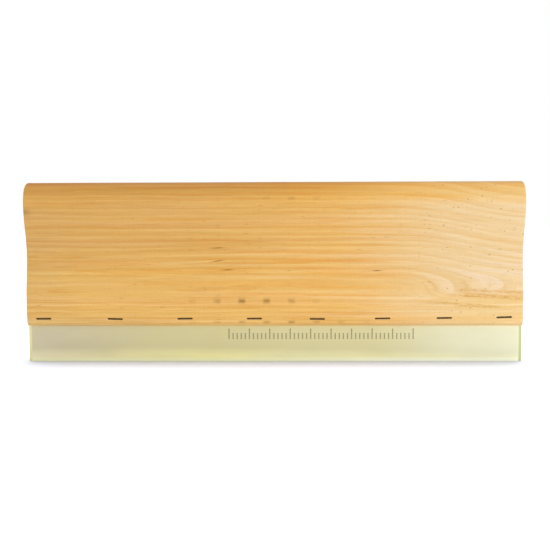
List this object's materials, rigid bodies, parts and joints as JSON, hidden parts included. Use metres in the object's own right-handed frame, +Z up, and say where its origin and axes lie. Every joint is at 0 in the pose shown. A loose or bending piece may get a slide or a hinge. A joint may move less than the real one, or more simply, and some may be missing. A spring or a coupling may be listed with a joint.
{
  "type": "screen printing squeegee",
  "caption": "Hand squeegee: moulded wooden handle with a rounded grip and finger coves, holding a square-edged translucent urethane blade in a groove with wire staples.",
  "frame": {"origin": "middle of the blade's printing edge, on the ground, with the squeegee standing upright", "axes": "+X along the squeegee's length, stapled face towards -Y, +Z up from the printing edge to the rounded grip"},
  "size_m": [0.3556, 0.0308, 0.1292],
  "materials": {
    "pine": "sanded softwood with a thin clear sealer",
    "urethane": "translucent cast urethane, satin",
    "staple_wire": "dulled galvanised wire"
  },
  "bodies": {
    "root": {"wood_handle": "pine", "urethane_blade": "urethane", "staple_1": "staple_wire", "staple_2": "staple_wire", "staple_3": "staple_wire", "staple_4": "staple_wire", "staple_5": "staple_wire", "staple_6": "staple_wire", "staple_7": "staple_wire", "staple_8": "staple_wire"}
  },
  "joints": []
}
